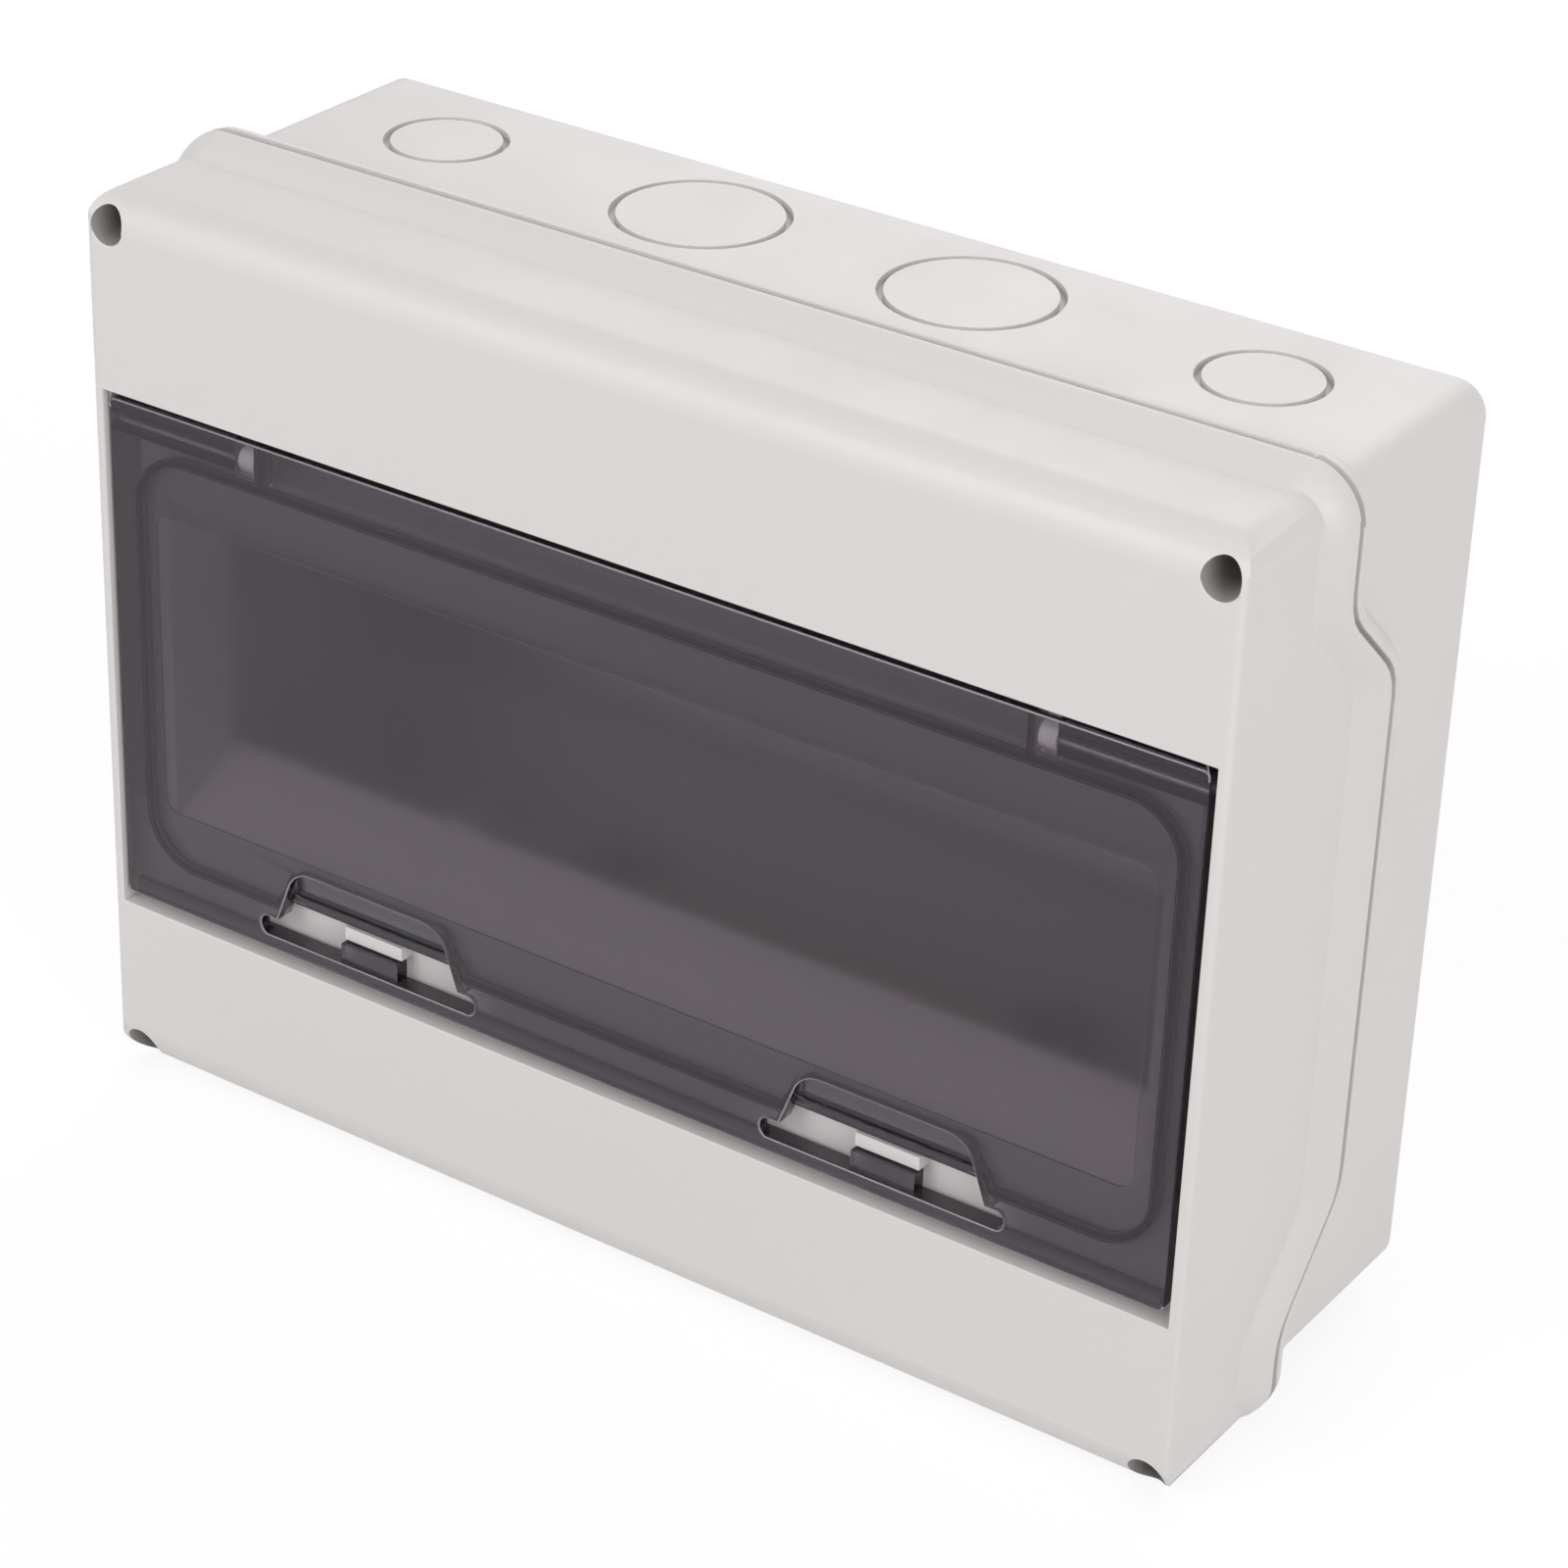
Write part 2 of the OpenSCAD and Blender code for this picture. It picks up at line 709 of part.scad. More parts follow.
// The sloping mouth that narrows from the door's ledge to the module slot
module funnel(grow, over)
    intersection() {
        by_width(-far, far)
            translate([0, window_z])
                polygon([for (s = [[floor_depth - over, mouth_h], [floor_depth, mouth_h],
                        [slot_depth, slot_h], [slot_depth + over, slot_h]])
                        [at(s[0]), s[1] / 2 + grow],
                    for (s = [[slot_depth + over, slot_h], [slot_depth, slot_h],
                        [floor_depth, mouth_h], [floor_depth - over, mouth_h]])
                        [at(s[0]), -s[1] / 2 - grow]]);
        by_height(-half_h, half_h)
            polygon([for (s = [[floor_depth - over, mouth_side], [floor_depth, mouth_side],
                    [slot_depth, 0], [slot_depth + over, 0]])
                    [slot_w / 2 + s[1] + grow, at(s[0])],
                for (s = [[slot_depth + over, 0], [slot_depth, 0],
                    [floor_depth, mouth_side], [floor_depth - over, mouth_side]])
                    [-slot_w / 2 - s[1] - grow, at(s[0])]]);
    }

module channel_plan(grow) {
    reach = window_w / 2 + min(grow, touch);
    translate([-reach, trough_low - grow])
        square([2 * reach, window_top - trough_low + 2 * grow]);
    for (x = [0, 1])
        mirror([x, 0])
            translate([window_w / 2 - channel_w - grow, channel_low - grow])
                square([reach - window_w / 2 + channel_w + grow,
                    window_top - channel_low + grow]);
}

lug_x = window_w / 2 - lug_inset;
lug_d = pin_d + 2.4;
lug_back = 0.6;             // height of the lug's foot above the pin's axis
latch_top = window_low + rib_end + rib_lift - 0.9;

module cover()
    color(housing_grey)
        difference() {
            union() {
                difference() {
                    union() {
                        difference() {
                            union() {
                                cover_block(0);
                                flange();
                            }
                            cover_block(wall);
                        }
                        seam_ring(margin - flange_out, corner_r + flange_out - margin,
                            rim_in, rim_r, -seam_gap / 2 - wall, 0);
                        by_depth(wall - margin, floor_depth + wall)
                            translate([0, window_z])
                                square([window_w + 1, window_h + 2 * wall], center = true);
                        by_depth(wall - margin, trough_depth + wall)
                            channel_plan(wall);
                        funnel(wall, 0);
                        intersection() {
                            at_cover_screws()
                                rod_y(0, 0, wall - margin, seam_end, post_d);
                            cover_block(touch);
                        }
                    }
                    by_depth(-margin, floor_depth)
                        translate([0, window_z])
                            square([window_w, window_h], center = true);
                    by_depth(-margin, trough_depth)
                        channel_plan(0);
                    funnel(0, margin);
                }
                for (x = [0, 1])
                    mirror([x, 0, 0]) {
                        rod_x(lug_x, lug_x + lug_t, hinge_depth, hinge_z, lug_d);
                        by_depth(hinge_depth, trough_depth + margin)
                            translate([lug_x, hinge_z - lug_d / 2])
                                square([lug_t, lug_d / 2 + lug_back]);
                        by_depth(latch_front, floor_depth + margin)
                            translate([pull_gap / 2 - latch_w / 2, latch_top - latch_t])
                                square([latch_w, latch_t]);
                    }
            }
            difference() {
                translate([-far / 2, -far, -far / 2])
                    cube([far, 2 * far, far]);
                ahead_of_seam(-seam_gap / 2);
            }
            seam_ring(-lip_out - touch, corner_r + lip_out + touch, lip_t + touch - lip_out,
                corner_r + lip_out - lip_t - touch, -lip_up - touch, 0);
            at_cover_screws() {
                rod_y(0, 0, -margin, well_depth, well_d);
                rod_y(0, 0, 0, far / 2, shank_d + 2 * pin_clear);
            }
            for (x = [0, 1])
                mirror([x, 0, 0])
                    rod_x(lug_x - margin, window_w / 2 + pin_hole, hinge_depth, hinge_z,
                        pin_d + 2 * thread_clear);
        }

washer_t = 0.8;

module cover_screws()
    color(zinc)
        at_cover_screws()
            pan_screw(0, 0, well_depth - washer_t, head_d, head_h, shank_d,
                shank_l + washer_t);

module cover_screw_washers()
    color(rubber_black)
        at_cover_screws()
            difference() {
                rod_y(0, 0, well_depth - washer_t, well_depth, head_d + 0.4);
                rod_y(0, 0, 0, depth, shank_d + 2 * pin_clear);
            }

module hinge_pin(side)
    color(zinc)
        mirror([side, 0, 0])
            rod_x(lug_x, window_w / 2 + pin_hole - thread_clear, hinge_depth, hinge_z, pin_d);

// ---- door -------------------------------------------------------------------------

door_w = window_w - 2 * door_side;
door_h = window_h - 2 * door_gap;
door_back = door_set + door_t;
door_low = window_low + door_gap;
rib_w = window_w - 2 * rib_side;
rib_h = window_h - 2 * rib_end;
rib_back = door_back + 1;
seal_back = floor_depth - touch;
rib_low = window_low + rib_end;
brace_x = lug_x - rib_t / 2 - 0.6;
slit_low = door_low + bar_h;
arch_foot = slit_low + slit_h;
step_low = rib_low + rib_lift;      // underside of the rib where it steps up
bar_lug_h = latch_top - latch_t - latch_clear - slit_low;

// The arch of a right-hand finger pull, widened all round by grow
module arch(grow) {
    lean = (pull_w - pull_top_w) / 2 / pull_h;
    slant = sqrt(1 + lean * lean);
    r = shoulder_r + grow;
    centre_z = arch_foot + pull_h - shoulder_r;
    centre_x = pull_w / 2 - lean * (pull_h - shoulder_r) - shoulder_r * slant;
    foot_x = pull_w / 2 + grow * slant;
    side_x = centre_x + r / slant;
    side_z = centre_z + r * lean / slant;
    translate([pull_gap / 2, 0]) {
        polygon([[-foot_x, arch_foot], [foot_x, arch_foot], [side_x, side_z],
            [centre_x, centre_z + r], [-centre_x, centre_z + r], [-side_x, side_z]]);
        for (side = [-1, 1])
            translate([side * centre_x, centre_z])
                circle(r);
    }
}

// The part of an arch that lies below the raised rib, widened by grow
module arch_below(grow)
    intersection() {
        arch(grow);
        translate([0, step_low + grow - far])
            square([far, far]);
    }

// The sealing rib's outline, moved inwards by inset, with a step up behind each pull
module rib_shape(inset)
    difference() {
        translate([0, window_z])
            rounded(rib_w - 2 * inset, rib_h - 2 * inset, rib_r - inset);
        for (x = [0, 1])
            mirror([x, 0])
                arch_below(inset);
    }

module rib_plan()
    difference() {
        rib_shape(0);
        rib_shape(rib_t);
    }

guard_foot = rib_back - 0.5;        // depth at which the guard wall's face meets the rib

// A wedge behind the arch: in front of the guard wall's face, moved back by back
module guard_wedge(back)
    by_width(-far, far)
        polygon([[at(-margin), arch_foot - margin],
            [at(guard_foot + back), arch_foot - margin],
            [at(guard_foot + back), step_low + rib_t],
            [at(door_set + 0.4 + back), arch_foot + pull_h + guard_t],
            [at(-margin), arch_foot + pull_h + guard_t]]);

module door()
    color(smoke)
        difference() {
            union() {
                difference() {
                    union() {
                        by_depth(door_set, door_back)
                            translate([0, window_z])
                                rounded(door_w, door_h, door_r);
                        by_depth(door_set, door_set + bar_t)
                            translate([-door_w / 2 + door_r, door_low])
                                square([door_w - 2 * door_r, bar_h]);
                        for (x = [0, 1])
                            mirror([x, 0, 0])
                                intersection() {
                                    by_depth(door_set, seal_back)
                                        arch(guard_t);
                                    guard_wedge(guard_t);
                                }
                    }
                    by_depth(door_back - panel_cut, depth)
                        translate([0, window_z])
                            rounded(panel_w, panel_h, 3);
                    for (x = [0, 1])
                        mirror([x, 0, 0]) {
                            intersection() {
                                by_depth(-margin, seal_back)
                                    arch(0);
                                guard_wedge(0);
                            }
                            by_depth(-margin, depth) {
                                arch_below(0);
                                translate([pull_gap / 2, slit_low + slit_h / 2])
                                    rounded(slit_w, slit_h, slit_r);
                            }
                            by_depth(door_set + pocket_skin, depth)
                                translate([lug_x - knuckle_gap, notch_low])
                                    square([lug_t + 2 * knuckle_gap, far]);
                        }
                }
                by_depth(door_back - 0.5, rib_back)
                    rib_plan();
                for (x = [0, 1])
                    mirror([x, 0, 0]) {
                        by_depth(door_back - 0.5, seal_back)
                            translate([brace_x - rib_t / 2, rib_low + rib_h - 0.4])
                                square([rib_t, window_top - door_gap - rib_low - rib_h]);
                        rod_x(lug_x + lug_t + knuckle_gap, door_w / 2, hinge_depth, hinge_z,
                            knuckle_d);
                        by_depth(door_set + 1, door_set + bar_t)
                            translate([pull_gap / 2 - latch_w / 2, slit_low - margin])
                                square([latch_w, bar_lug_h + margin]);
                    }
            }
            by_depth(rib_back, depth)
                rib_plan();
            for (x = [0, 1])
                mirror([x, 0, 0])
                    rod_x(lug_x, window_w / 2, hinge_depth, hinge_z, pin_d + 2 * pin_clear);
        }

slit_r = slit_h / 2 - 0.2;
pocket_skin = 1.2;          // thickness of the plate in front of the hinge lugs
notch_low = hinge_z - lug_d / 2 - knuckle_gap;

module door_seal()
    color(rubber_black)
        by_depth(rib_back, seal_back)
            rib_plan();

base();
din_rail();
rail_screws();
terminal_bar(1);  // neutral_bar
terminal_screws(1);  // neutral_bar_screws
bar_holder(1, -1, neutral_blue);  // neutral_holder_left
bar_holder(1, 1, neutral_blue);  // neutral_holder_right
holder_screws(1);  // neutral_holder_screws
terminal_bar(-1);  // earth_bar
terminal_screws(-1);  // earth_bar_screws
bar_holder(-1, -1, earth_green);  // earth_holder_left
bar_holder(-1, 1, earth_green);  // earth_holder_right
holder_screws(-1);  // earth_holder_screws
cover_gasket();
cover();
cover_screws();
cover_screw_washers();
door();
door_seal();
hinge_pin(1);  // hinge_pin_left
hinge_pin(0);  // hinge_pin_right
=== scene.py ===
import math
import bmesh
import bpy
from mathutils import Matrix, Vector


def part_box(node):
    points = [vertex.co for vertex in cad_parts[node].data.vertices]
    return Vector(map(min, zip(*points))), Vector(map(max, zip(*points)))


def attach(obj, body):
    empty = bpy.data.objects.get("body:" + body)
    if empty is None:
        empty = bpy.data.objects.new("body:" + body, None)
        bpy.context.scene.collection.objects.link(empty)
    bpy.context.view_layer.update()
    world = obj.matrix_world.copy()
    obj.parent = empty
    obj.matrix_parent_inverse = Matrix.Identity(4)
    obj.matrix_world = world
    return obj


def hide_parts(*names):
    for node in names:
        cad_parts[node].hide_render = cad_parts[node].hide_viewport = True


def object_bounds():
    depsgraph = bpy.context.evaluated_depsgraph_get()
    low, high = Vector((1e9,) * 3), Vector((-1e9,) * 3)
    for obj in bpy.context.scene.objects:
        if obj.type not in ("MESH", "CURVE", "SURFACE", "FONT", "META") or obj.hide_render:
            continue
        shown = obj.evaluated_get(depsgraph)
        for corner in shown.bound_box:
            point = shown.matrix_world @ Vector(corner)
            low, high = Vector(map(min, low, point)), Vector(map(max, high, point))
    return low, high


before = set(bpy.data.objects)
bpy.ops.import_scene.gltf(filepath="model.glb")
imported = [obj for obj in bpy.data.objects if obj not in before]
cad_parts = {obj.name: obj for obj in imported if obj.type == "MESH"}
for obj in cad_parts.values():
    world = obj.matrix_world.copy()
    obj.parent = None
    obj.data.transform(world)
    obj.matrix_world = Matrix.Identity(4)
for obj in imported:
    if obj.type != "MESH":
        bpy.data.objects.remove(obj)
cad_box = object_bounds()

# ---- The camera and the studio --------------------------------------------------------
# The box stands on a white floor under broad soft lamps. The camera is a long lens above
# the box and to its right, turned a little about its own axis.
scene = bpy.context.scene
scene.view_settings.view_transform = "Standard"
MM = 0.001

look_at = Vector((7.86, -43.5, -6.69)) * MM
look_azimuth, look_height, look_roll = (math.radians(a) for a in (33.58, 28.81, 2.145))
look_distance = 0.8657
away = Vector((math.sin(look_azimuth) * math.cos(look_height),
               -math.cos(look_azimuth) * math.cos(look_height), math.sin(look_height)))
across = (-away).cross(Vector((0, 0, 1))).normalized()
upward = across.cross(-away)
camera_x = across * math.cos(look_roll) + upward * math.sin(look_roll)
camera_y = upward * math.cos(look_roll) - across * math.sin(look_roll)
lens = bpy.data.cameras.new("camera")
lens.sensor_width, lens.lens = 36, 104.83      # both in millimetres
lens.clip_start, lens.clip_end = 0.01, 50
camera = bpy.data.objects.new("camera", lens)
scene.collection.objects.link(camera)
camera_turn = Matrix((camera_x, camera_y, away)).transposed().to_4x4()
camera.matrix_world = Matrix.Translation(look_at + away * look_distance) @ camera_turn
scene.camera = camera


def soft_lamp(name, place, size, watts):
    """A broad lamp turned to the box, its place and size in metres."""
    panel = bpy.data.lights.new(name, "AREA")
    panel.shape, panel.size, panel.size_y = "RECTANGLE", size[0], size[1]
    panel.energy = watts
    hung = bpy.data.objects.new(name, panel)
    scene.collection.objects.link(hung)
    hung.location = place
    hung.rotation_mode = "QUATERNION"
    hung.rotation_quaternion = (-Vector(place)).to_track_quat("-Z", "Y")


soft_lamp("front_lamp", (-0.8, -2.0, 1.3), (1.4, 1.4), 23.5)
soft_lamp("right_lamp", (1.8, -0.9, 0.8), (1.4, 1.6), 20)
soft_lamp("top_lamp", (0.1, 0.2, 1.9), (2.0, 1.6), 4.7)
soft_lamp("back_lamp", (-0.6, 1.8, 1.0), (1.6, 1.4), 12)


def seen_rays(tree):
    """1 for the rays that look at the studio, straight or by way of gloss and glass."""
    rays = tree.nodes.new("ShaderNodeLightPath")
    sight = rays.outputs["Is Camera Ray"]
    for other in ("Is Glossy Ray", "Is Transmission Ray"):
        either = tree.nodes.new("ShaderNodeMath")
        either.operation = "MAXIMUM"
        tree.links.new(sight, either.inputs[0])
        tree.links.new(rays.outputs[other], either.inputs[1])
        sight = either.outputs[0]
    return sight


studio = bpy.data.worlds.new("studio")
scene.world = studio
studio.use_nodes = True
sky_tree = studio.node_tree
sky_tree.nodes.clear()
sky_strength = 0.42         # the even light of the room on the box
sky_light = sky_tree.nodes.new("ShaderNodeBackground")
sky_light.inputs["Strength"].default_value = sky_strength
sky_white = sky_tree.nodes.new("ShaderNodeBackground")
for glow in (sky_light, sky_white):
    glow.inputs["Color"].default_value = (1, 1, 1, 1)
sky_mix = sky_tree.nodes.new("ShaderNodeMixShader")
sky_out = sky_tree.nodes.new("ShaderNodeOutputWorld")
sky_tree.links.new(seen_rays(sky_tree), sky_mix.inputs["Fac"])
sky_tree.links.new(sky_light.outputs[0], sky_mix.inputs[1])
sky_tree.links.new(sky_white.outputs[0], sky_mix.inputs[2])
sky_tree.links.new(sky_mix.outputs[0], sky_out.inputs["Surface"])

floor_half = 4              # from the middle of the floor to its edge, in metres
floor_grey = 0.80           # how much light the floor gives back
glow_share = 0.75           # how much of its look comes from its own white glow
glow_near, glow_far = 1.1, 1.4
near_reach, far_reach = 0.5, 1.5
floor_mesh = bpy.data.meshes.new("floor")
floor_form = bmesh.new()
bmesh.ops.create_grid(floor_form, x_segments=1, y_segments=1, size=floor_half)
bmesh.ops.translate(floor_form, vec=(0, 0, cad_box[0].z), verts=floor_form.verts)
floor_form.to_mesh(floor_mesh)
floor_form.free()
floor = bpy.data.objects.new("floor", floor_mesh)
scene.collection.objects.link(floor)
floor_paint = bpy.data.materials.new("floor_paint")
floor_paint.use_nodes = True
floor_tree = floor_paint.node_tree
floor_tree.nodes.clear()
floor_matte = floor_tree.nodes.new("ShaderNodeBsdfDiffuse")
floor_matte.inputs["Color"].default_value = (floor_grey, floor_grey, floor_grey, 1)
floor_glow = floor_tree.nodes.new("ShaderNodeEmission")
floor_place = floor_tree.nodes.new("ShaderNodeTexCoord")
floor_reach = floor_tree.nodes.new("ShaderNodeVectorMath")
floor_reach.operation = "LENGTH"
floor_fade = floor_tree.nodes.new("ShaderNodeMapRange")
floor_fade.inputs["From Min"].default_value = near_reach
floor_fade.inputs["From Max"].default_value = far_reach
floor_fade.inputs["To Min"].default_value = glow_near
floor_fade.inputs["To Max"].default_value = glow_far
floor_tree.links.new(floor_place.outputs["Object"], floor_reach.inputs[0])
floor_tree.links.new(floor_reach.outputs["Value"], floor_fade.inputs["Value"])
floor_tree.links.new(floor_fade.outputs["Result"], floor_glow.inputs["Strength"])
floor_blend = floor_tree.nodes.new("ShaderNodeMixShader")
floor_blend.inputs["Fac"].default_value = glow_share
floor_seen = floor_tree.nodes.new("ShaderNodeMixShader")
floor_out = floor_tree.nodes.new("ShaderNodeOutputMaterial")
floor_tree.links.new(floor_matte.outputs[0], floor_blend.inputs[1])
floor_tree.links.new(floor_glow.outputs[0], floor_blend.inputs[2])
floor_tree.links.new(seen_rays(floor_tree), floor_seen.inputs["Fac"])
floor_tree.links.new(floor_matte.outputs[0], floor_seen.inputs[1])
floor_tree.links.new(floor_blend.outputs[0], floor_seen.inputs[2])
floor_tree.links.new(floor_seen.outputs[0], floor_out.inputs["Surface"])
floor_mesh.materials.append(floor_paint)

# ---- The base -------------------------------------------------------------------------
# A tray of light grey moulded plastic, satin from the grain of its mould. Ring grooves mark
# the knockouts in its top and bottom, and its edge follows the cover's wave.


def finish_material(name, colour, roughness, metallic=0.0):
    """A Principled material with the places on the piece ready as its pattern's input."""
    made = bpy.data.materials.new(name)
    made.use_nodes = True
    tree = made.node_tree
    skin = tree.nodes["Principled BSDF"]
    skin.inputs["Base Color"].default_value = (*colour, 1)
    skin.inputs["Roughness"].default_value = roughness
    skin.inputs["Metallic"].default_value = metallic
    place = tree.nodes.new("ShaderNodeTexCoord")
    return made, tree, skin, place.outputs["Object"]


def cloudy(tree, place, scale, detail=3.0, stretch=(1, 1, 1)):
    """A soft noise from 0 to 1 over the piece, with scale in bumps per metre."""
    turned = tree.nodes.new("ShaderNodeMapping")
    turned.inputs["Scale"].default_value = stretch
    noise = tree.nodes.new("ShaderNodeTexNoise")
    noise.inputs["Scale"].default_value = scale
    noise.inputs["Detail"].default_value = detail
    tree.links.new(place, turned.inputs["Vector"])
    tree.links.new(turned.outputs[0], noise.inputs["Vector"])
    return noise.outputs["Fac"]


noise_low, noise_high = 0.25, 0.75      # most of a noise lies between these


def between(tree, amount, low, high):
    """The noise spread over a range, for a roughness."""
    spread = tree.nodes.new("ShaderNodeMapRange")
    spread.inputs["From Min"].default_value = noise_low
    spread.inputs["From Max"].default_value = noise_high
    spread.inputs["To Min"].default_value = low
    spread.inputs["To Max"].default_value = high
    tree.links.new(amount, spread.inputs["Value"])
    return spread.outputs["Result"]


def tinted(tree, amount, first, second):
    """Two near colours mixed by the noise."""
    blend = tree.nodes.new("ShaderNodeMix")
    blend.data_type = "RGBA"
    blend.inputs["A"].default_value = (*first, 1)
    blend.inputs["B"].default_value = (*second, 1)
    tree.links.new(amount, blend.inputs["Factor"])
    return blend.outputs["Result"]


def raised(tree, skin, amount, strength, height):
    """Gives the surface a fine relief from the noise, with its height in metres."""
    relief = tree.nodes.new("ShaderNodeBump")
    relief.inputs["Strength"].default_value = strength
    relief.inputs["Distance"].default_value = height
    tree.links.new(amount, relief.inputs["Height"])
    tree.links.new(relief.outputs[0], skin.inputs["Normal"])


tone_scale, gloss_scale, grain_scale = 14, 60, 2600     # patches per metre
grain_height = 0.04 * MM


def moulded_plastic(name, first, second, low=0.40, high=0.50):
    """Plastic with a slow drift of tone and gloss and the fine grain of its mould. Its colour
    lies between first and second, and its roughness between low and high."""
    made, tree, skin, place = finish_material(name, first, low)
    tone = tinted(tree, cloudy(tree, place, tone_scale), first, second)
    gloss = between(tree, cloudy(tree, place, gloss_scale), low, high)
    tree.links.new(tone, skin.inputs["Base Color"])
    tree.links.new(gloss, skin.inputs["Roughness"])
    raised(tree, skin, cloudy(tree, place, grain_scale, 2.0), 0.10, grain_height)
    return made


def dress(finish, *nodes):
    """Gives CAD nodes a finish in place of their plain one."""
    for node in nodes:
        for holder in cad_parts[node].material_slots:
            holder.material = finish


light_grey = moulded_plastic("light_grey_plastic", (0.668, 0.642, 0.634), (0.655, 0.629, 0.621))
same_place = 0.002 * MM             # loose corners closer than this are one corner
square_corner = math.radians(40)    # an edge this sharp is eased
crease = math.radians(50)           # an edge this sharp stays crisp to the eye
edge_steps = 3                      # flats across an eased edge


def eased_copy(node, name, body, finish, eased, settle=None):
    """Stands for a moulded CAD node with its sharp outer edges eased as the mould leaves them.
    Each entry of eased is a test of an edge's two ends, the radius to ease it by, and the
    number of the finish on it, or -1 for its neighbour's. Settle moves each point from where
    the drawing has it to where the piece lies within its clearances."""
    form = bmesh.new()
    form.from_mesh(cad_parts[node].data)
    bmesh.ops.remove_doubles(form, verts=form.verts, dist=same_place)
    for inside, radius, edge_finish in eased:
        corners = [edge for edge in form.edges
                   if len(edge.link_faces) == 2
                   and edge.calc_face_angle() > square_corner
                   and all(inside(end.co) for end in edge.verts)]
        bmesh.ops.bevel(form, geom=corners, offset=radius, offset_type="OFFSET",
                        segments=edge_steps, profile=0.5, affect="EDGES",
                        clamp_overlap=False, loop_slide=False, material=edge_finish)
    if settle:
        for corner in form.verts:
            corner.co += settle(corner.co)
    for face in form.faces:
        face.smooth = True
    for edge in form.edges:
        edge.smooth = len(edge.link_faces) == 2 and edge.calc_face_angle() < crease
    made_mesh = bpy.data.meshes.new(name)
    form.to_mesh(made_mesh)
    form.free()
    made = bpy.data.objects.new(name, made_mesh)
    scene.collection.objects.link(made)
    made_mesh.materials.append(finish)
    evened = made.modifiers.new("evened", "WEIGHTED_NORMAL")
    evened.keep_sharp = True
    evened.weight = 100
    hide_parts(node)
    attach(made, body)
    return made


rim_half_x, rim_half_z, rim_corner = cad_box[1].x, cad_box[1].z, 9.5 * MM
rim_ease, rim_slack = 0.4 * MM, 0.12 * MM
lip_inset, lip_slack = 1.6 * MM, 0.15 * MM


def inside_rim(at):
    """How far a point lies inside the outline of the flange, as seen from the front."""
    past_x = abs(at.x) - (rim_half_x - rim_corner)
    past_z = abs(at.z) - (rim_half_z - rim_corner)
    if past_x > 0 and past_z > 0:
        return rim_corner - math.hypot(past_x, past_z)
    return rim_corner - max(past_x, past_z)


def on_flange_rim(end):
    """Whether a point lies on the outermost line of the flange, where the two halves meet."""
    return inside_rim(end) < rim_slack


def on_lip(face):
    """Whether a face is on the wall of the lip that closes the seam behind its open gap."""
    return abs(inside_rim(face.center) - lip_inset) < lip_slack and abs(face.normal.y) < 0.1


base_moulding = eased_copy("base", "base_moulding", "base_body", light_grey,
                           [(on_flange_rim, rim_ease, -1)])

# A darker grey than the housing's: painted shade on the wall of the lip in the seam's gap, and on
# the cover also on the walls of the screw wells.
painted_shade_grey = moulded_plastic("painted_shade_grey_plastic", (0.40, 0.385, 0.375),
                              (0.34, 0.325, 0.315), 0.55, 0.70)
base_moulding.data.materials.append(painted_shade_grey)
for face in base_moulding.data.polygons:
    if on_lip(face):
        face.material_index = 1

# ---- The rail for the breakers --------------------------------------------------------
# A top-hat strip of zinc plated steel, cold rolled along its length, held to two posts in
# the base by pan-head screws.
zinc, tree, skin, place = finish_material("zinc_plate", (0.62, 0.63, 0.65), 0.32, 1.0)
along = (0.02, 1, 1)                # draws the marks out along the rail
rolled = cloudy(tree, place, 900, 2.0, along)
tree.links.new(between(tree, rolled, 0.26, 0.40), skin.inputs["Roughness"])
tree.links.new(tinted(tree, cloudy(tree, place, 45), (0.64, 0.65, 0.67), (0.57, 0.585, 0.60)),
               skin.inputs["Base Color"])
raised(tree, skin, rolled, 0.10, 0.02 * MM)
dress(zinc, "din_rail")

plated_screw, tree, skin, place = finish_material("plated_screw", (0.60, 0.61, 0.63), 0.28, 1.0)
worn = cloudy(tree, place, 500, 4.0)
tree.links.new(between(tree, worn, 0.22, 0.42), skin.inputs["Roughness"])
raised(tree, skin, worn, 0.12, 0.03 * MM)
dress(plated_screw, "rail_screws")

# ---- The neutral and earth bars -------------------------------------------------------
# Extruded brass bars with rows of clamp screws. Each lies in the fork of a moulded holder
# at both ends, blue for neutral and green for earth, that is screwed to the base.
brass, tree, skin, place = finish_material("drawn_brass", (0.72, 0.52, 0.22), 0.30, 1.0)
drawn = cloudy(tree, place, 1100, 2.0, (0.03, 1, 1))
tree.links.new(between(tree, drawn, 0.24, 0.40), skin.inputs["Roughness"])
tree.links.new(tinted(tree, cloudy(tree, place, 70), (0.74, 0.54, 0.24), (0.62, 0.43, 0.17)),
               skin.inputs["Base Color"])
raised(tree, skin, drawn, 0.12, 0.02 * MM)
dress(brass, "neutral_bar", "earth_bar")
dress(plated_screw, "neutral_bar_screws", "earth_bar_screws", "neutral_holder_screws",
      "earth_holder_screws")
holder_gloss = (0.36, 0.46)
neutral_blue = moulded_plastic("neutral_blue", (0.02, 0.055, 0.16), (0.018, 0.049, 0.145),
                               *holder_gloss)
earth_green = moulded_plastic("earth_green", (0.02, 0.075, 0.035), (0.018, 0.068, 0.031),
                              *holder_gloss)
dress(neutral_blue, "neutral_holder_left", "neutral_holder_right")
dress(earth_green, "earth_holder_left", "earth_holder_right")

